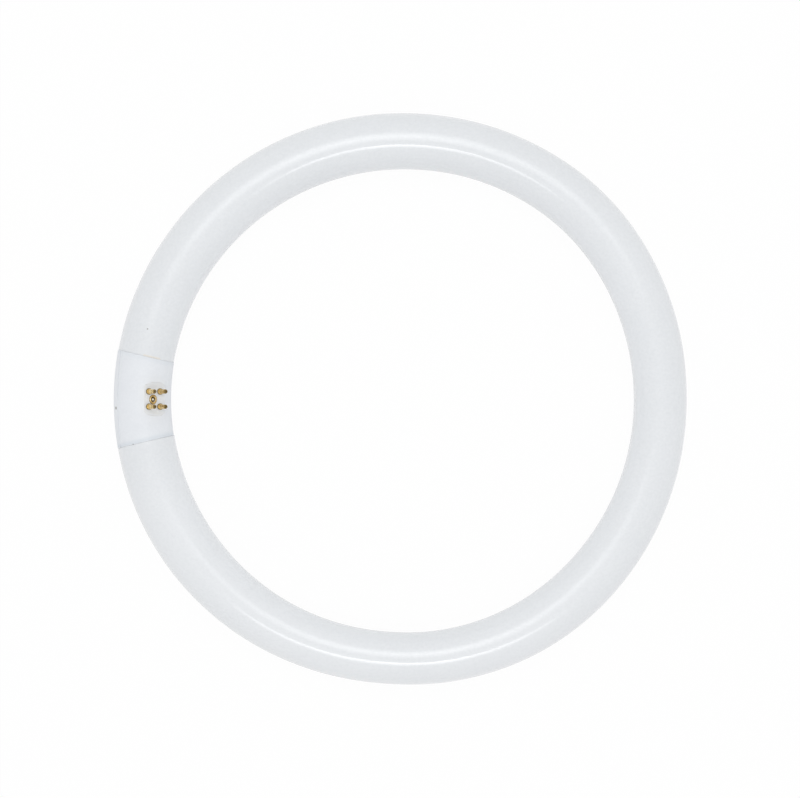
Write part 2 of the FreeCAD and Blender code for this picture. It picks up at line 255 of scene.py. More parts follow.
class Graph:
    """A node tree that is filled by expressions."""

    SPECK_CORE: float = 0.4     # share of a sparse speck's radius that is fully dark
    SPOT_CORE: float = 0.3      # the same for a soft spot

    def __init__(self, tree: bpy.types.NodeTree) -> None:
        """Empties the tree and keeps it."""
        tree.nodes.clear()
        self.tree = tree

    def node(self, kind: str, settings: Mapping[str, Any], inputs: Inputs) -> bpy.types.Node:
        """Makes one node.

        Args:
            kind: the node's type.
            settings: its own options, which are set first.
            inputs: values or links of its sockets, by name or number.

        Returns:
            The new node.
        """
        node = self.tree.nodes.new(kind)
        for name, value in settings.items():
            setattr(node, name, value)
        for key, value in inputs.items():
            source = value.socket if isinstance(value, Field) else value
            if isinstance(source, bpy.types.NodeSocket):
                self.tree.links.new(source, node.inputs[key])
            else:
                node.inputs[key].default_value = source
        return node

    def maths(self, operation: str, first: Number, second: Number = 0.0) -> Field:
        """One Math node.

        Args:
            operation: the node's operation.
            first: first value.
            second: second value, where the operation takes one.

        Returns:
            Its result.
        """
        node = self.node("ShaderNodeMath", {"operation": operation}, {0: first, 1: second})
        return Field(self, node.outputs[0])

    def blend(self, base: SocketValue, other: SocketValue, factor: Number) -> bpy.types.NodeSocket:
        """Mixes two colours.

        Args:
            base: colour where the factor is 0, as four numbers or a link.
            other: colour where the factor is 1.
            factor: share of the other colour.

        Returns:
            The mixed colour.
        """
        node = self.node("ShaderNodeMix", {"data_type": "RGBA"}, {0: factor, 6: base, 7: other})
        return node.outputs[2]

    def place(self) -> tuple[Field, Field, Field, bpy.types.NodeSocket]:
        """The point on the surface in the object's own space.

        Returns:
            Its three coordinates in metres, and all of them as one vector.
        """
        point = self.node("ShaderNodeTexCoord", {}, {}).outputs["Object"]
        split = self.node("ShaderNodeSeparateXYZ", {}, {0: point})
        return (*(Field(self, output) for output in split.outputs), point)

    def noise(self, point: bpy.types.NodeSocket, grain: float, detail: float = 2.0) -> Field:
        """Smooth noise about 0.5.

        Args:
            point: where it is read.
            grain: size of its blotches, in metres.
            detail: octaves of finer noise.

        Returns:
            The noise, mostly from 0.2 to 0.8.
        """
        inputs = {"Vector": point, "Scale": 1 / grain, "Detail": detail, "Roughness": 0.5}
        return Field(self, self.node("ShaderNodeTexNoise", {}, inputs).outputs[0])

    def specks(self, point: bpy.types.NodeSocket, spacing: float, size: float) -> Field:
        """Sparse round specks.

        Args:
            point: where they are read.
            spacing: average distance between them, in metres.
            size: their radius, in metres.

        Returns:
            1 inside a speck and 0 elsewhere.
        """
        inputs = {"Vector": point, "Scale": 1 / spacing}
        cells = self.node("ShaderNodeTexVoronoi", {"feature": "F1"}, inputs)
        edge = size / spacing
        return Field(self, cells.outputs["Distance"]).rise(edge, self.SPECK_CORE * edge)

    def near(self, point: bpy.types.NodeSocket, centre: Vector, reach: float) -> Field:
        """A soft round spot.

        Args:
            point: where it is read.
            centre: middle of the spot.
            reach: radius at which it has faded out.

        Returns:
            1 in the middle, down to 0 at the reach.
        """
        gap = self.node("ShaderNodeVectorMath", {"operation": "DISTANCE"}, {0: point, 1: centre})
        return Field(self, gap.outputs["Value"]).rise(reach, self.SPOT_CORE * reach)

    def along(self, point: bpy.types.NodeSocket, origin: Vector, direction: Vector) -> Field:
        """Distance of the point from an origin along a direction.

        Args:
            point: where it is read.
            origin: point at distance 0.
            direction: unit direction.

        Returns:
            The signed distance in metres.
        """
        offset = self.node("ShaderNodeVectorMath", {"operation": "SUBTRACT"}, {0: point, 1: origin})
        inputs = {0: offset.outputs[0], 1: direction}
        dot = self.node("ShaderNodeVectorMath", {"operation": "DOT_PRODUCT"}, inputs)
        return Field(self, dot.outputs["Value"])

    def off_rim(self, x: Field, y: Field, layout: Layout) -> Field:
        """Distance past the nearer of the cap's two end planes.

        Args:
            x: first coordinate of the point.
            y: second coordinate of the point.
            layout: the frame's places.

        Returns:
            The distance in metres, negative on the cap.
        """
        rim, turn = layout.rim_point, layout.rim_turn
        return (x - rim.x) * math.sin(turn) + (abs(y) - rim.y) * math.cos(turn)

    def bump(self, height: Field, depth: float) -> bpy.types.NodeSocket:
        """A normal that follows a small relief.

        Args:
            height: relief from 0 to 1.
            depth: its full depth, in metres.

        Returns:
            The changed normal.
        """
        return self.node("ShaderNodeBump", {}, {"Height": height, "Distance": depth}).outputs["Normal"]

    def viewers(self) -> tuple[Field, Field]:
        """Which kind of ray meets the surface.

        Returns:
            1 for the camera's rays, also through clear pieces, and 1 for a reflection's.
        """
        path = self.node("ShaderNodeLightPath", {}, {})
        names = ("Is Camera Ray", "Is Transmission Ray", "Is Glossy Ray")
        camera, through, gloss = (Field(self, path.outputs[name]) for name in names)
        return camera.most(through), gloss

    def finish(self, inputs: Inputs) -> None:
        """Ends a surface in one Principled shader.

        Args:
            inputs: values or links of the shader's sockets.
        """
        shader = self.node("ShaderNodeBsdfPrincipled", {}, inputs)
        self.node("ShaderNodeOutputMaterial", {}, {"Surface": shader.outputs[0]})


def new_material(name: str) -> tuple[bpy.types.Material, Graph]:
    """Makes an empty material.

    Args:
        name: its name.

    Returns:
        The material and its graph.
    """
    material = bpy.data.materials.new(name)
    material.use_nodes = True
    return material, Graph(material.node_tree)


def opaque(colour: Colour) -> tuple[float, float, float, float]:
    """A colour with full alpha."""
    return (*colour, 1.0)


# Finishes


@dataclass(frozen=True)
class Speck:
    """One speck of dirt.

    Attributes:
        place: its middle.
        radius: radius at which it has faded out.
    """

    place: Vector
    radius: float


@dataclass(frozen=True)
class Fade:
    """A soft change along a measure of the surface, such as a height or a distance.

    Attributes:
        start: value of the measure at which it sets in.
        full: value at which it is complete.
        share: how strong it is there.
    """

    start: float
    full: float
    share: float = 1.0

    def along(self, measure: Field) -> Field:
        """Strength of the change, from 0 to its share."""
        return measure.rise(self.start, self.full) * self.share


@dataclass(frozen=True)
class CoatedGlass:
    """Clear glass over a satin white powder, with a fine mottle, a few specks and painted shade towards
    +Y.

    Attributes:
        layout: the frame's places.
        colour: the powder.
        shade: the powder where it is thinner and near the cap, and the painted shade towards +Y.
        thinness: average share of the shade.
        blotch_share: how much the broad blotches change it.
        powder_share: how much the fine mottle changes it.
        top_shade_share: painted shade: how much darker the powder is painted towards +Y and lighter
            towards -Y, standing in for more light on the ring's lower side.
        cap_shade: how it grows towards the cap, by the distance from the rim.
        cap_side: the side of the ring that the cap is on, by the distance along -X.
        dirt: colour of the dust and the mark.
        dust_share: how dark the dust is.
        mark: the one larger speck, above the cap.
        cement: colour of the cement that shows in the upper seam.
        cement_seam: how it fades out, by the distance from the rim.
        cement_left: how it sets in at its left end, along X.
        cement_right: the same at its right end.
        satin: roughness of the powder.
        grit_share: how much the fine mottle changes that.
        gloss: roughness of the glass over it.
        smudges: where touch has dulled the glass, by a noise.
        wave_depth: depth of the glass's waves.
    """

    layout: Layout
    colour: Colour = (0.826, 0.847, 0.871)
    shade: Colour = (0.756, 0.780, 0.805)
    thinness: float = 0.30
    blotch_share: float = 0.5
    powder_share: float = 1.3
    # painted shade: share by which the powder is painted darker towards +Y
    top_shade_share: float = 0.2
    cap_shade: Fade = Fade(34 * MM, 0.0, share=0.3)
    cap_side: Fade = Fade(0.0, 100 * MM)
    dirt: Colour = (0.36, 0.35, 0.34)
    dust_share: float = 0.6
    mark: Speck = Speck(Vector((-132.15 * MM, 36.45 * MM, 29.67 * MM)), 0.58 * MM)
    cement: Colour = (0.80, 0.74, 0.65)
    cement_seam: Fade = Fade(1.3 * MM, 0.5 * MM, share=0.7)
    cement_left: Fade = Fade(-134.8 * MM, -133.8 * MM)
    cement_right: Fade = Fade(-125.8 * MM, -126.8 * MM)
    satin: float = 0.34
    grit_share: float = 0.2
    gloss: float = 0.04
    smudges: Fade = Fade(0.52, 0.80, share=0.25)
    wave_depth: float = 0.05 * MM

    def material(self) -> bpy.types.Material:
        """Builds the finish.

        Returns:
            The new material.
        """
        material, graph = new_material(Slot.GLASS.value)
        x, y, z, point = graph.place()
        off_rim = graph.off_rim(x, y, self.layout)
        blotches = graph.noise(point, grain=42 * MM, detail=3.0) - 0.5
        powder = graph.noise(point, grain=1.5 * MM, detail=2.0) - 0.5
        thin_and_shade = self.thinness + blotches * self.blotch_share + powder * self.powder_share
        thin_and_shade = thin_and_shade + self.cap_shade.along(off_rim) * self.cap_side.along(0 - x)
        # painted shade: darker towards +Y and lighter towards -Y, standing in for light
        thin_and_shade = thin_and_shade + y / self.layout.ring_radius * self.top_shade_share
        colour = graph.blend(opaque(self.colour), opaque(self.shade), thin_and_shade.most(0.0).least(1.0))
        dust = graph.specks(point, spacing=26 * MM, size=0.30 * MM) * self.dust_share
        marked = graph.near(point, self.mark.place, self.mark.radius)
        colour = graph.blend(colour, opaque(self.dirt), dust.most(marked))
        upper = y.rise(0.0, SIDE_STEP) * (z - self.layout.height).rise(0.0, SIDE_STEP)
        shown = self.cement_left.along(x) * self.cement_right.along(x) * upper
        colour = graph.blend(colour, opaque(self.cement), self.cement_seam.along(off_rim) * shown)
        smudge = graph.noise(point, grain=12 * MM, detail=4.0)
        waves = graph.noise(point, grain=16 * MM, detail=1.0)
        graph.finish({
            "Base Color": colour,
            "Roughness": self.satin + powder * self.grit_share,
            "IOR": 1.45,
            "Coat Weight": 1 - self.smudges.along(smudge),
            "Coat Roughness": self.gloss,
            "Coat IOR": 1.5,
            "Normal": graph.bump(waves, self.wave_depth),
        })
        return material


@dataclass(frozen=True)
class CapPlastic:
    """Satin white moulding with a fine grain, faint blotches, painted shade along its rims, painted light
    on the pad's end walls and two specks.

    Attributes:
        layout: the frame's places.
        colour: the clean moulding.
        shade: its blotches.
        unevenness: average share of the shade.
        blotches: how the broad blotches set in, by a noise.
        mottle_share: how much the fine mottle changes the shade.
        polish_and_painted_light: painted light, a lighter and bluer colour on the walls at both ends of
            the pin pad, standing in for the light that their shade and the brass's yellow bounce take
            away.
        sunk: what lies under the cap's round, by its depth.
        pad_ends: where those walls are, by the distance along the tube from the pad's middle.
        edge: painted shade along the cap's two rims, standing in for their rounding that turns away from
            the light.
        rim_shade_in: how that band of painted shade sets in, by the distance past a rim.
        rim_shade_out: how it ends at the rim.
        rim_shade_above: how dark the painted shade is along the upper rim.
        rim_shade_below: how dark it is along the lower rim, which faces away from the broad light.
        dirt: colour of the specks.
        dirt_share: how dark they are.
        specks: the specks.
        satin: roughness of the moulding.
        grain_share: how much the grain changes that.
        grain_depth: depth of the grain.
    """

    layout: Layout
    colour: Colour = (0.828, 0.853, 0.888)
    shade: Colour = (0.768, 0.795, 0.831)
    unevenness: float = 0.1
    blotches: Fade = Fade(0.3, 0.9, share=0.5)
    mottle_share: float = 0.9
    # painted light for the pad's end walls
    polish_and_painted_light: Colour = (0.860, 0.900, 0.955)
    sunk: Fade = Fade(0.1 * MM, 0.3 * MM)
    pad_ends: Fade = Fade(6 * MM, 9 * MM)
    # painted shade along the rims
    edge: Colour = (0.60, 0.665, 0.73)
    rim_shade_in: Fade = Fade(-3.2 * MM, -0.6 * MM)
    rim_shade_out: Fade = Fade(0.0, -0.6 * MM)
    rim_shade_above: float = 0.17
    rim_shade_below: float = 0.42
    dirt: Colour = (0.16, 0.15, 0.12)
    dirt_share: float = 0.9
    specks: tuple[Speck, ...] = (
        Speck(Vector((-149.85 * MM, -4.80 * MM, 23.6 * MM)), 1.20 * MM),
        Speck(Vector((-139.6 * MM, -23.7 * MM, 29.7 * MM)), 0.75 * MM),
    )
    satin: float = 0.40
    grain_share: float = 0.12
    grain_depth: float = 0.012 * MM

    def material(self) -> bpy.types.Material:
        """Builds the finish.

        Returns:
            The new material.
        """
        material, graph = new_material(Slot.PLASTIC.value)
        x, y, z, point = graph.place()
        blotches = self.blotches.along(graph.noise(point, grain=9 * MM, detail=3.0))
        mottle = graph.noise(point, grain=1.5 * MM, detail=2.0) - 0.5
        grain = graph.noise(point, grain=0.45 * MM, detail=2.0)
        uneven = (blotches + mottle * self.mottle_share + self.unevenness).most(0.0).least(1.0)
        colour = graph.blend(opaque(self.colour), opaque(self.shade), uneven)
        aside = (x ** 2 + y ** 2) ** 0.5 - self.layout.ring_radius
        depth = self.layout.cap_radius - (aside ** 2 + (z - self.layout.height) ** 2) ** 0.5
        # painted light: the pad's end walls are painted lighter, standing in for light that their shade
        # takes away
        painted_light = self.sunk.along(depth) * self.pad_ends.along(abs(y))
        colour = graph.blend(colour, opaque(self.polish_and_painted_light), painted_light)
        # painted shade along both rims, darker along the lower one
        off_rim = graph.off_rim(x, y, self.layout)
        banded = self.rim_shade_in.along(off_rim) * self.rim_shade_out.along(off_rim)
        below = y.rise(0.0, -SIDE_STEP)
        dull = banded * (self.rim_shade_above + below * (self.rim_shade_below - self.rim_shade_above))
        colour = graph.blend(colour, opaque(self.edge), dull)
        for speck in self.specks:
            dirty = graph.near(point, speck.place, speck.radius) * self.dirt_share
            colour = graph.blend(colour, opaque(self.dirt), dirty)
        graph.finish({
            "Base Color": colour,
            "Roughness": self.satin + grain * self.grain_share,
            "IOR": 1.48,
            "Normal": graph.bump(grain, self.grain_depth),
        })
        return material


@dataclass(frozen=True)
class TarnishedBrass:
    """Drawn brass, yellow where it is bare and brown where it has tarnished, with a painted highlight on
    the rivet's lip and painted shade round the collars, the lip and in the rivet's hole.

    Attributes:
        layout: the frame's places.
        rivet: the rivet, whose lip is duller than the pins.
        bright: the untarnished metal.
        dull: the tarnish.
        dark_marks_and_shade: the darkest colour, on the pins' tips and a band round the outer pins, and
            painted shade at the pins' feet, on the collars' and the lip's rims and in the rivet's hole.
        filler: the white bead in the rivet's hole.
        patches: patches of tarnish, by a noise.
        on_lip: the rivet's lip, by the distance outside its radius.
        lip_tarnish: extra tarnish on it.
        glint_side: place of a painted highlight on the lip, across the pad from its middle.
        glint_reach: radius of that painted highlight.
        shanks: extra tarnish on the inner pins' shanks, by the height over their collars.
        tips: the pins' dark tips, by the height over the pad.
        dark_band_level: height over the pad of a dark band round the outer pins.
        dark_band: that dark band, by the distance from that height.
        over_collar: what stands over a collar, by its height over it.
        feet: painted shade at the pins' feet, just over the collars, by the same height.
        low: what is no higher than a collar, by the same height.
        on_pad: what is no deeper than the rivet's hole, by the height over its floor.
        collar_rim: painted shade on the collars' rims, by the distance from a pin's axis.
        lip_rim: painted shade on the lip's outer rim, by the distance outside its radius.
        hole: painted shade in the hole, by the distance outside its radius.
        bead: the bead, by the distance outside its radius.
        bead_level: how the bead's white sets in, by the level over the pad.
        polish_and_painted_light: roughness of the untarnished metal.
        dull_share: how much rougher the tarnish is.
        darkest_share: how much rougher the darkest colour makes the metal.
        scratch_depth: depth of the scratches.
    """

    layout: Layout
    rivet: "Rivet"
    bright: Colour = (0.99, 0.77, 0.38)
    dull: Colour = (0.50, 0.34, 0.13)
    # darkest colour, also used as painted shade
    dark_marks_and_shade: Colour = (0.16, 0.11, 0.035)
    filler: Colour = (0.95, 0.95, 0.88)
    patches: Fade = Fade(0.38, 0.75, share=0.45)
    on_lip: Fade = Fade(0.2 * MM, 0.1 * MM)
    lip_tarnish: float = 0.7
    glint_side: float = -1.7 * MM
    glint_reach: float = 1.1 * MM
    shanks: Fade = Fade(0.7 * MM, 1.2 * MM, share=0.38)
    tips: Fade = Fade(6.2 * MM, 6.6 * MM, share=0.85)
    dark_band_level: float = 5.0 * MM
    dark_band: Fade = Fade(0.5 * MM, 0.3 * MM, share=0.7)
    over_collar: Fade = Fade(0.0, 0.1 * MM)
    feet: Fade = Fade(0.8 * MM, 0.24 * MM, share=0.35)
    low: Fade = Fade(0.3 * MM, 0.0)
    on_pad: Fade = Fade(-0.4 * MM, -0.2 * MM)
    collar_rim: Fade = Fade(1.1 * MM, 1.5 * MM, share=0.78)
    lip_rim: Fade = Fade(-0.4 * MM, -0.1 * MM, share=0.7)
    hole: Fade = Fade(0.1 * MM, -0.1 * MM, share=0.9)
    bead: Fade = Fade(0.0, -0.1 * MM)
    bead_level: Fade = Fade(-0.25 * MM, -0.15 * MM)
    polish_and_painted_light: float = 0.24
    dull_share: float = 0.3
    darkest_share: float = 0.15
    scratch_depth: float = 0.01 * MM

    def material(self) -> bpy.types.Material:
        """Builds the finish.

        Returns:
            The new material.
        """
        material, graph = new_material(Slot.BRASS.value)
        _, y, _, point = graph.place()
        layout, rivet = self.layout, self.rivet
        side = graph.along(point, layout.cap_middle, layout.across)
        level = graph.along(point, layout.cap_middle, layout.pin_axis) - layout.pad_level
        over = level - layout.collar_height
        pin_along, pin_across = layout.pin_offsets
        off_pin = ((abs(y) - pin_along) ** 2 + (abs(side) - pin_across) ** 2) ** 0.5
        lip = rivet.middle(level=0.0, slip=1.0)
        lip_side = (lip - layout.cap_middle).dot(layout.across)
        off_lip = ((y - lip.y) ** 2 + ((side - lip_side) / rivet.squeeze) ** 2) ** 0.5
        inner, outer = side.rise(0.0, SIDE_STEP), side.rise(0.0, -SIDE_STEP)
        on_lip = self.on_lip.along(off_lip - rivet.lip_radius)
        low = self.low.along(over) * self.on_pad.along(level - rivet.hole_floor)
        # painted highlight: the tarnish is taken off a spot on the lip's left side, where it catches the
        # light
        painted_light = graph.near(point, lip + layout.across * self.glint_side, self.glint_reach)
        patches = self.patches.along(graph.noise(point, grain=1.6 * MM, detail=4.0))
        tarnish = patches + on_lip * self.lip_tarnish + self.shanks.along(over) * inner
        tarnish = (tarnish * (1 - painted_light)).least(1.0)
        dark_marks_and_shade = self.tips.along(level)
        dark_marks_and_shade = dark_marks_and_shade.most(self.dark_band.along(abs(level - self.dark_band_level)) * outer)
        # painted shade at the pins' feet, on the collars' and the lip's rims and in the rivet's hole
        dark_marks_and_shade = dark_marks_and_shade.most(self.feet.along(over) * self.over_collar.along(over))
        dark_marks_and_shade = dark_marks_and_shade.most(self.collar_rim.along(off_pin) * (1 - on_lip) * low)
        dark_marks_and_shade = dark_marks_and_shade.most(self.lip_rim.along(off_lip - rivet.lip_radius) * on_lip * low)
        dark_marks_and_shade = dark_marks_and_shade.most(self.hole.along(off_lip - rivet.hole_radius) * low)
        bead = self.bead.along(off_lip - rivet.bead_radius) * self.bead_level.along(level) * low
        colour = graph.blend(opaque(self.bright), opaque(self.dull), tarnish)
        colour = graph.blend(colour, opaque(self.dark_marks_and_shade), dark_marks_and_shade)
        scratches = graph.noise(point, grain=0.25 * MM, detail=2.0)
        graph.finish({
            "Base Color": graph.blend(colour, opaque(self.filler), bead),
            "Metallic": 1 - bead,
            "Roughness": self.polish_and_painted_light + tarnish * self.dull_share + dark_marks_and_shade * self.darkest_share,
            "Normal": graph.bump(scratches, self.scratch_depth),
        })
        return material


@dataclass(frozen=True)
class DrawnWire:
    """Grey lead wire with drawing marks.

    Attributes:
        colour: the metal.
        groove: the metal in the drawing marks.
        grooves: how the marks set in, by a noise.
        satin: roughness of the metal.
        groove_share: how much the marks change that.
    """

    colour: Colour = (0.62, 0.60, 0.57)
    groove: Colour = (0.35, 0.33, 0.31)
    grooves: Fade = Fade(0.45, 0.8)
    satin: float = 0.30
    groove_share: float = 0.2

    def material(self) -> bpy.types.Material:
        """Builds the finish.

        Returns:
            The new material.
        """
        material, graph = new_material(Slot.WIRE.value)
        *_, point = graph.place()
        marks = graph.noise(point, grain=0.4 * MM, detail=3.0)
        graph.finish({
            "Base Color": graph.blend(opaque(self.colour), opaque(self.groove), self.grooves.along(marks)),
            "Metallic": 1.0,
            "Roughness": self.satin + marks * self.groove_share,
        })
        return material


# Meshes


def steps(end: float, count: int) -> list[float]:
    """Equal steps from 0 to an end, with both included."""
    return [end * step / count for step in range(count + 1)]


@dataclass(frozen=True)
class Section:
    """One oval section of the bent tube.

    Attributes:
        angle: where it is round the ring, from +X, in radians.
        wide: radius in the ring's plane.
        tall: radius square to that plane.
        reach: distance of its middle from the ring's axis.
        lean: how far it leans the way that the angle grows, per distance outwards.
    """

    angle: float
    wide: float
    tall: float
    reach: float
    lean: float = 0.0

    def points(self, height: float, count: int) -> list[Vector]:
        """Corners of the section.

        Args:
            height: height of the ring's plane.
            count: number of corners.

        Returns:
            The corners in order, from the outermost one downwards.
        """
        outward = Vector((math.cos(self.angle), math.sin(self.angle), 0))
        onward = Vector((-math.sin(self.angle), math.cos(self.angle), 0))
        middle = outward * self.reach + Vector((0, 0, height))
        level = (outward + onward * self.lean) * self.wide
        rise = Vector((0, 0, self.tall))
        turns = steps(2 * math.pi, count)[:-1]
        return [middle + level * math.cos(turn) - rise * math.sin(turn) for turn in turns]


@dataclass(frozen=True)
class Measure:
    """A size that changes round the ring, as measured at a few places.

    Attributes:
        places: pairs of an angle in degrees and the size there in metres, by falling angle.
    """

    places: tuple[tuple[float, float], ...]

    def at(self, angle: float) -> float:
        """Size at an angle, on a smooth curve through the measured places.

        Args:
            angle: angle from +X, in radians.

        Returns:
            The size in metres.
        """
        degrees = math.degrees(angle)
        last = len(self.places) - 2
        number = next((n for n in range(last) if degrees >= self.places[n + 1][0]), last)
        (from_angle, start), (to_angle, end) = self.places[number], self.places[number + 1]
        span = to_angle - from_angle
        share = min(max((degrees - from_angle) / span, 0.0), 1.0)
        leave, arrive = self.slope(number) * span, self.slope(number + 1) * span
        rest = 1 - share
        return (start * rest ** 2 * (1 + 2 * share) + end * share ** 2 * (3 - 2 * share)
                + leave * share * rest ** 2 - arrive * share ** 2 * rest)

    def slope(self, number: int) -> float:
        """Slope of the curve at a measured place.

        Args:
            number: number of the place.

        Returns:
            The slope between the places beside it, in metres per degree.
        """
        before = self.places[max(number - 1, 0)]
        after = self.places[min(number + 1, len(self.places) - 1)]
        return (after[1] - before[1]) / (after[0] - before[0])


def new_piece(name: str, points: Sequence[Vector], faces: Sequence[Sequence[int]]) -> bpy.types.Object:
    """Makes a smooth mesh object in the scene.

    Args:
        name: its name.
        points: its corners, in the frame.
        faces: its faces, as corner numbers.

    Returns:
        The new object.
    """
    mesh = bpy.data.meshes.new(name)
    mesh.from_pydata([tuple(p) for p in points], [], faces)
    mesh.validate()
    mesh.shade_smooth()
    piece = bpy.data.objects.new(name, mesh)
    bpy.context.scene.collection.objects.link(piece)
    return piece


def grid_faces(rows: int, columns: int) -> list[tuple[int, ...]]:
    """Quads between rows of points that close round on themselves, with both ends filled.

    Args:
        rows: number of rows.
        columns: points in a row.

    Returns:
        The faces.
    """
    faces: list[tuple[int, ...]] = []
    for row in range(rows - 1):
        for column in range(columns):
            beside = (column + 1) % columns
            low, high = row * columns, (row + 1) * columns
            faces.append((low + column, high + column, high + beside, low + beside))
    faces.append(tuple(range(columns)))
    faces.append(tuple((rows - 1) * columns + column for column in reversed(range(columns))))
    return faces


@dataclass
class GlassRing:
    """The bent, sealed glass tube, with a neck and a re-entrant stem at each end.

    Attributes:
        layout: the frame's places.
        finish: its finish.
        girth: radius of the tube, which bending has thinned here and swollen there.
        stray: how far the tube's middle strays outwards from a circle.
        lift: least clearance over the floor.
        settle: length over which the tube's sections turn from the cap's slant to square.
        rim_gap: gap between the cap's rim and the shoulder.
        shoulder_round: rounding of the shoulder's edge.
        root_round: rounding between the shoulder and the neck.
        neck_radius: radius of the neck inside the cap.
        end_place: distance of the tube's end from the middle of the cap.
        rim_width: width of the rolled rim at the end.
        stem_depth: depth of the stem.
        flare_depth: depth of its flare.
        throat_radius: radius of the stem past its flare.
        pinch_round: length over which the stem narrows at its pinch.
        pinch_share: radius of the pinch, as a share of the stem's.
        flare_steps: steps of the flare.
        rim_steps: steps of the rolled rim.
        root_steps: steps of the rounding between the shoulder and the neck.
        shoulder_steps: steps of the rounding of the shoulder's edge.
        body_sections: sections of the body.
        around: corners of a section.
    """

    layout: Layout
    finish: CoatedGlass
    girth: Measure = Measure((
        (172, 14.75 * MM), (120, 14.82 * MM), (80, 14.55 * MM), (45, 14.40 * MM), (20, 14.10 * MM),
        (-5, 13.75 * MM), (-50, 14.20 * MM), (-90, 13.55 * MM), (-110, 13.80 * MM), (-140, 14.80 * MM),
        (-158, 15.10 * MM), (-172, 15.05 * MM),
    ))
    stray: Measure = Measure((
        (172, 0.00 * MM), (140, -0.40 * MM), (90, -0.30 * MM), (70, 0.45 * MM), (45, 1.35 * MM),
        (20, 0.45 * MM), (0, -0.10 * MM), (-30, 0.25 * MM), (-60, 1.00 * MM), (-80, 0.45 * MM),
        (-95, -0.40 * MM), (-130, -0.20 * MM), (-172, -0.20 * MM),
    ))
    lift: float = 0.05 * MM
    settle: float = 30 * MM
    rim_gap: float = 0.04 * MM
    shoulder_round: float = 0.12 * MM
    root_round: float = 0.4 * MM
    neck_radius: float = 13.0 * MM
    end_place: float = 8.5 * MM
    rim_width: float = 2.8 * MM
    stem_depth: float = 16 * MM
    flare_depth: float = 9 * MM
    throat_radius: float = 4 * MM
    pinch_round: float = 0.3 * MM
    pinch_share: float = 0.9
    flare_steps: int = 8
    rim_steps: int = 12
    root_steps: int = 4
    shoulder_steps: int = 6
    body_sections: int = 600
    around: int = 96

    def angle(self, place: float, end: End) -> float:
        """Angle from +X of a place along the tube, counted from the cap's middle towards an end."""
        return (math.pi - place / self.layout.ring_radius) * end.value

    def body_section(self, angle: float) -> Section:
        """Section of the uneven body.

        Args:
            angle: angle from +X, in radians.

        Returns:
            The section, which leans with the cap's rim beside it.
        """
        layout = self.layout
        from_cap = (math.pi - abs(angle)) * layout.ring_radius - layout.cap_half
        share = min(max(from_cap / self.settle, 0.0), 1.0)
        square = share * share * (3 - 2 * share)
        lean = -math.copysign(math.tan(layout.cap_slant), angle) * (1 - square)
        wide = self.girth.at(angle)
        tall = min(wide, layout.height - self.lift)
        return Section(angle, wide, tall, layout.ring_radius + self.stray.at(angle), lean)

    def stem_outline(self) -> list[tuple[float, float]]:
        """Outline of one end, from the pinch of its stem over the rolled rim to the neck.

        Returns:
            Pairs of a place along the tube and a radius.
        """
        end, mouth, half = self.end_place, self.neck_radius - self.rim_width, self.rim_width / 2
        drop = mouth - self.throat_radius
        bell = (drop ** 2 + self.flare_depth ** 2) / (2 * drop)
        outline = [(end + self.stem_depth, self.pinch_share * self.throat_radius),
                   (end + self.stem_depth - self.pinch_round, self.throat_radius)]
        for climb in steps(half - self.flare_depth, self.flare_steps):
            depth = self.flare_depth + climb
            waist = self.throat_radius + bell - math.sqrt(bell ** 2 - (self.flare_depth - depth) ** 2)
            outline.append((end + depth, min(waist, mouth)))
        for turn in steps(math.pi, self.rim_steps)[1:-1]:
            outline.append((end + half * (1 - math.sin(turn)), mouth + half * (1 - math.cos(turn))))
        outline.append((end + half, self.neck_radius))
        return outline

    def end_sections(self, end: End) -> list[Section]:
        """Sections of one end, from its pinch to the shoulder's edge beside the cap.

        Args:
            end: which end.

        Returns:
            The sections in order.
        """
        reach = self.layout.ring_radius
        sections = [Section(self.angle(place, end), radius, radius, reach)
                    for place, radius in self.stem_outline()]
        shoulder = self.layout.cap_half + self.rim_gap
        lean = -math.tan(self.layout.cap_slant) * end.value
        for turn in steps(math.pi / 2, self.root_steps):
            place = shoulder - self.root_round * (1 - math.sin(turn))
            radius = self.neck_radius + self.root_round * (1 - math.cos(turn))
            sections.append(Section(self.angle(place, end), radius, radius, reach, lean))
        for turn in steps(math.pi / 2, self.shoulder_steps):
            angle = self.angle(shoulder + self.shoulder_round * (1 - math.cos(turn)), end)
            body, loss = self.body_section(angle), self.shoulder_round * (1 - math.sin(turn))
            sections.append(Section(angle, body.wide - loss, body.tall - loss, body.reach, lean))
        return sections

    def sections(self) -> list[Section]:
        """All sections, from the upper end's pinch round the ring to the lower end's.

        Returns:
            The sections in order.
        """
        upper, lower = self.end_sections(End.UPPER), self.end_sections(End.LOWER)
        start, stop = upper[-1].angle, lower[-1].angle
        angles = [start + turn for turn in steps(stop - start, self.body_sections)[1:-1]]
        return upper + [self.body_section(angle) for angle in angles] + lower[::-1]

    def build(self) -> bpy.types.Object:
        """Builds the tube and puts it in the place of its solid.

        Returns:
            The new piece.
        """
        sections, height = self.sections(), self.layout.height
        points = [point for section in sections for point in section.points(height, self.around)]
        piece = new_piece("glass_ring", points, grid_faces(len(sections), self.around))
        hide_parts("glass_tube")
        return self.dress(piece)

    def dress(self, piece: bpy.types.Object) -> bpy.types.Object:
        """Gives the tube its finish and body."""
        piece.data.materials.append(self.finish.material())
        return seat(piece)


def seat(piece: bpy.types.Object) -> bpy.types.Object:
    """Lets a piece ride on the part.

    Args:
        piece: the piece.

    Returns:
        The same piece.
    """
    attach(piece, BODY)
    return piece


def dress_node(name: str, material: bpy.types.Material) -> bpy.types.Object:
    """Gives a carried-over node a finish.

    Args:
        name: the node.
        material: its finish.

    Returns:
        The node's object.
    """
    node = frame["nodes"][name]
    node.data.materials.clear()
    node.data.materials.append(material)
    return node


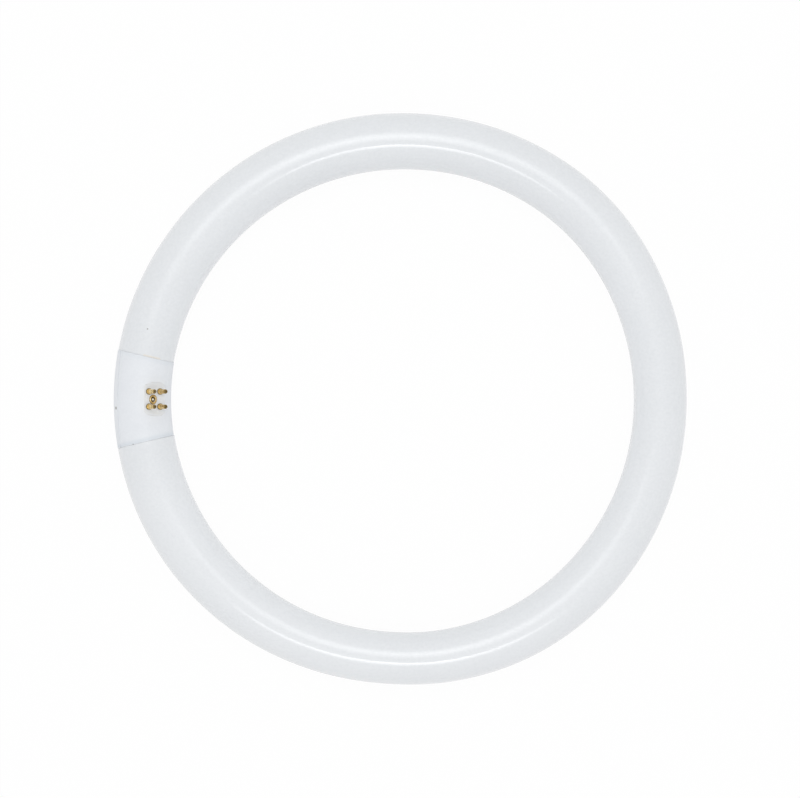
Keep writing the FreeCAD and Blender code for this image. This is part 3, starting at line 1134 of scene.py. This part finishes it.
@dataclass
class Cap:
    """The moulded cap that joins the tube's ends, in two halves.

    Attributes:
        finish: its finish.
        halves: the nodes of its halves.
    """

    finish: CapPlastic
    halves: tuple[str, ...] = ("cap_pin_half", "cap_rear_half")

    def dress(self) -> list[bpy.types.Object]:
        """Gives both halves the moulding's finish."""
        material = self.finish.material()
        return [dress_node(half, material) for half in self.halves]


@dataclass(frozen=True)
class Turning:
    """One round of a turned piece.

    Attributes:
        radius: its radius along the tube.
        level: its level over the pad.
        slip: share of the rolled lip's slip that it has.
    """

    radius: float
    level: float
    slip: float = 0.0


@dataclass(frozen=True)
class Rivet:
    """The semi-tubular rivet through the cap, with an uneven rolled lip on the pad and a bead in its hole.

    Attributes:
        layout: the frame's places.
        side: place of its shank across the pad, from the middle.
        slip_along: how far its lip has been rolled aside along the tube.
        slip_across: the same across the pad.
        squeeze: width of the lip across the pad, as a share of its width along the tube.
        lip_radius: outer radius of the lip.
        lip_height: height of the lip over the pad.
        hole_radius: radius of the hole at the lip.
        throat_radius: radius of the hole further down.
        throat_level: level at which the hole has narrowed.
        hole_floor: level of the hole's bottom.
        bead_radius: radius of the bead.
        bead_top: level of the bead's top.
        shank_radius: radius of the shank.
        swage: depth over which the shank widens to the lip.
        head_radius: radius of the head at the back.
        head_height: height of that head.
        seat_depth: depth of the head's seat under the cap's back.
        crown_radius: radius of the last round, in the middle of the head.
        throat_slip: share of the lip's slip that the hole further down has.
        crease: angle from which an edge stays sharp.
        bead_steps: rounds of the bead.
        lip_steps: steps over the lip.
        head_steps: steps over the head.
        around: corners of a round.
    """

    layout: Layout
    side: float = -1.2 * MM
    slip_along: float = -0.2 * MM
    slip_across: float = 0.45 * MM
    squeeze: float = 0.86
    lip_radius: float = 2.55 * MM
    lip_height: float = 0.42 * MM
    hole_radius: float = 1.35 * MM
    throat_radius: float = 0.95 * MM
    throat_level: float = -0.35 * MM
    hole_floor: float = -0.9 * MM
    bead_radius: float = 0.70 * MM
    bead_top: float = 0.25 * MM
    shank_radius: float = 1.5 * MM
    swage: float = 0.3 * MM
    head_radius: float = 2.8 * MM
    head_height: float = 0.8 * MM
    seat_depth: float = 1.2 * MM
    crown_radius: float = 0.3 * MM
    throat_slip: float = 0.5
    crease: float = math.radians(50)
    bead_steps: int = 6
    lip_steps: int = 14
    head_steps: int = 8
    around: int = 72

    def middle(self, level: float, slip: float) -> Vector:
        """Middle of a round.

        Args:
            level: its level over the pad.
            slip: share of the lip's slip that it has.

        Returns:
            The point in the frame.
        """
        layout = self.layout
        across = layout.across * (self.side + slip * self.slip_across)
        along = Vector((0, slip * self.slip_along, 0))
        return layout.cap_middle + layout.pin_axis * (layout.pad_level + level) + across + along

    def hole(self) -> list[Turning]:
        """Shapes the bead and the hole round it.

        Returns:
            The rounds from the bead's top to the bottom of the lip.
        """
        rounds: list[Turning] = []
        for turn in steps(math.pi / 2, self.bead_steps)[1:]:
            level = self.bead_top - self.bead_radius * (1 - math.cos(turn))
            rounds.append(Turning(self.bead_radius * math.sin(turn), level, slip=1.0))
        for radius, level in ((self.bead_radius, self.hole_floor), (self.throat_radius, self.hole_floor),
                              (self.throat_radius, self.throat_level)):
            rounds.append(Turning(radius, level, self.throat_slip))
        return rounds

    def lip(self) -> list[Turning]:
        """Shapes the rolled lip.

        Returns:
            The rounds from its hole to its outer edge.
        """
        middle, half = (self.lip_radius + self.hole_radius) / 2, (self.lip_radius - self.hole_radius) / 2
        return [Turning(middle - half * math.cos(turn), self.lip_height * math.sin(turn), slip=1.0)
                for turn in steps(math.pi, self.lip_steps)]

    def shank(self) -> list[Turning]:
        """Shapes the shank and the head at the back.

        Returns:
            The rounds from the lip down the shank and over the head to its crown.
        """
        base = -(self.layout.cap_radius - self.seat_depth) - self.layout.pad_level
        rounds = [Turning(self.shank_radius + self.swage, 0.0, slip=1.0),
                  Turning(self.shank_radius, -self.swage), Turning(self.shank_radius, base)]
        for turn in steps(math.pi / 2, self.head_steps):
            radius = self.head_radius - self.head_height * (1 - math.cos(turn))
            rounds.append(Turning(radius, base - self.head_height * math.sin(turn)))
        rounds.append(Turning(self.crown_radius, base - self.head_height))
        return rounds

    def corners(self, row: Turning) -> list[Vector]:
        """Corners of a round.

        Args:
            row: the round.

        Returns:
            The corners, turning to the right about the pins' direction.
        """
        middle = self.middle(row.level, row.slip)
        wide = self.layout.across * (row.radius * (1 - row.slip * (1 - self.squeeze)))
        long = Vector((0, row.radius, 0))
        turns = steps(2 * math.pi, self.around)[:-1]
        return [middle + wide * math.cos(turn) + long * math.sin(turn) for turn in turns]

    def build(self) -> bpy.types.Object:
        """Builds the rivet and puts it in the place of its solid.

        Returns:
            The new piece.
        """
        rows = [*self.hole(), *self.lip(), *self.shank()]
        points = [corner for row in rows for corner in self.corners(row)]
        piece = new_piece("rolled_rivet", points, grid_faces(len(rows), self.around))
        piece.data.set_sharp_from_angle(angle=self.crease)
        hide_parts("cap_rivet")
        return piece


@dataclass
class Contacts:
    """The hollow pins, the rivet between them and the lead wires inside.

    Attributes:
        rivet: the rivet.
        brass: finish of the pins and the rivet.
        wire: finish of the lead wires.
        count: number of pins.
    """

    rivet: Rivet
    brass: TarnishedBrass
    wire: DrawnWire
    count: int

    def build(self) -> list[bpy.types.Object]:
        """Builds the rivet and gives the metal pieces their finishes.

        Returns:
            The pieces.
        """
        brass, wire = self.brass.material(), self.wire.material()
        rivet = self.rivet.build()
        rivet.data.materials.append(brass)
        pieces = [seat(rivet)]
        for number in range(1, self.count + 1):
            pieces.append(dress_node(f"contact_pin_{number}", brass))
            pieces.append(dress_node(f"lead_wire_{number}", wire))
        return pieces


# Studio


@dataclass(frozen=True)
class SoftLight:
    """An oval light that faces the ring's centre and fades towards its edge.

    Attributes:
        name: its name.
        place: its middle, from the ring's centre.
        size: its length and width, in metres.
        brightness: how bright its middle is, where 1 is white.
        drift: how far its brightest place lies from its middle.
        layers: nested ovals that it is made of.
        spacing: how far the smallest oval stands behind the largest.
    """

    name: str
    place: Vector
    size: tuple[float, float]
    brightness: float
    drift: Vector
    layers: int = 6
    spacing: float = 20 * MM

    def build(self, height: float) -> None:
        """Adds the light.

        Args:
            height: height of the ring's centre.
        """
        for number in range(1, self.layers + 1):
            self.add_layer(number / self.layers, height)

    def add_layer(self, share: float, height: float) -> None:
        """Adds one oval.

        Args:
            share: its size, as a share of the whole light's.
            height: height of the ring's centre.
        """
        data = bpy.data.lights.new(self.name, "AREA")
        data.shape = "ELLIPSE"
        data.size, data.size_y = (share * length for length in self.size)
        oval = math.pi / 4 * data.size * data.size_y
        data.energy = self.brightness / self.layers * math.pi * oval
        light = bpy.data.objects.new(self.name, data)
        aside = (self.place.normalized() * self.spacing + self.drift) * (1 - share)
        light.location = self.place + aside + Vector((0, 0, height))
        light.rotation_mode = "QUATERNION"
        light.rotation_quaternion = (-self.place).to_track_quat("-Z", "Y")
        bpy.context.scene.collection.objects.link(light)


@dataclass
class Studio:
    """Pale floor, a soft room, two lights and a camera straight above the ring.

    Attributes:
        layout: the frame's places.
        camera_height: camera over the ring's plane.
        lens: focal length, in millimetres.
        sensor: width of the camera's sensor, in millimetres.
        framing: how far the camera stands off the ring's axis.
        roll: how far the camera is turned about its view, in degrees.
        floor_half: half of the floor's width.
        paper: how pale the floor is.
        white_share: share of plain white in what the camera sees of the floor.
        gloss_share: share of plain white in what reflections see of the floor and the room.
        room_low: the room near the floor.
        room_high: the room overhead.
        room_top: sine of the elevation from which the room is as it is overhead.
        lights: the lights.
    """

    layout: Layout
    camera_height: float = 600 * MM
    lens: float = 50.65
    sensor: float = 36.0
    framing: tuple[float, float] = (-0.77 * MM, 0.37 * MM)
    roll: float = 0.15
    floor_half: float = 2.0
    paper: float = 0.93
    white_share: float = 0.965
    gloss_share: float = 0.5
    room_low: Colour = (0.825, 0.825, 0.825)
    room_high: Colour = (0.768, 0.768, 0.768)
    room_top: float = 0.75
    lights: tuple[SoftLight, ...] = (
        SoftLight("broad_light", place=Vector((-0.015, 0.219, 0.630)), size=(0.62, 0.42),
                  brightness=2.5, drift=Vector((0, 0, 0))),
        SoftLight("strip_light", place=Vector((0, -0.310, 0.748)), size=(0.46, 0.19),
                  brightness=5.6, drift=Vector((0, 0.078, 0))),
    )

    def build(self) -> None:
        """Builds the whole studio."""
        self.add_camera()
        self.add_floor()
        self.add_world()
        for light in self.lights:
            light.build(self.layout.height)

    def add_camera(self) -> None:
        """Adds the camera, looking straight down with +Y up."""
        data = bpy.data.cameras.new("camera")
        data.lens = self.lens
        data.sensor_width = self.sensor
        camera = bpy.data.objects.new("camera", data)
        camera.location = (*self.framing, self.layout.height + self.camera_height)
        camera.rotation_euler.z = math.radians(self.roll)
        bpy.context.scene.collection.objects.link(camera)
        bpy.context.scene.camera = camera

    def add_floor(self) -> None:
        """Adds the floor, white to the camera and with a trace of the object's shadow."""
        corners = [Vector((x, y, 0)) * self.floor_half for x, y in ((-1, -1), (1, -1), (1, 1), (-1, 1))]
        floor = new_piece("floor", corners, [(0, 1, 2, 3)])
        material, graph = new_material("floor_paper")
        direct, gloss = graph.viewers()
        paper = graph.node("ShaderNodeBsdfDiffuse", {}, {"Color": opaque((self.paper,) * 3)})
        white = graph.node("ShaderNodeEmission", {}, {"Color": opaque(WHITE), "Strength": 1.0})
        share = (direct * self.white_share).most(gloss * self.gloss_share)
        mixed = graph.node("ShaderNodeMixShader", {}, {0: share, 1: paper.outputs[0], 2: white.outputs[0]})
        graph.node("ShaderNodeOutputMaterial", {}, {"Surface": mixed.outputs[0]})
        floor.data.materials.append(material)

    def add_world(self) -> None:
        """Adds the surroundings: white to the camera, and a soft pale room to the object."""
        world = bpy.data.worlds.new("studio")
        world.use_nodes = True
        bpy.context.scene.world = world
        graph = Graph(world.node_tree)
        direction = graph.node("ShaderNodeTexCoord", {}, {}).outputs["Generated"]
        up = Field(graph, graph.node("ShaderNodeSeparateXYZ", {}, {0: direction}).outputs[2])
        room = graph.blend(opaque(self.room_low), opaque(self.room_high), up.rise(0.0, self.room_top))
        direct, gloss = graph.viewers()
        colour = graph.blend(room, opaque(WHITE), direct.most(gloss * self.gloss_share))
        background = graph.node("ShaderNodeBackground", {}, {"Color": colour, "Strength": 1.0})
        graph.node("ShaderNodeOutputWorld", {}, {"Surface": background.outputs[0]})


def main() -> None:
    """Builds and dresses the lamp, then the studio round it."""
    logging.basicConfig(level=logging.INFO, format="%(message)s")
    bpy.context.scene.view_settings.view_transform = "Standard"
    layout = Layout.from_frame()
    rivet = Rivet(layout)
    brass = TarnishedBrass(layout, rivet)
    pieces = [
        GlassRing(layout, CoatedGlass(layout)).build(),
        *Cap(CapPlastic(layout)).dress(),
        *Contacts(rivet, brass, DrawnWire(), len(layout.pin_places)).build(),
    ]
    for piece in pieces:
        LOG.info("%s: %d faces", piece.name, len(piece.data.polygons))
    Studio(layout).build()


if __name__ == "__main__":
    main()
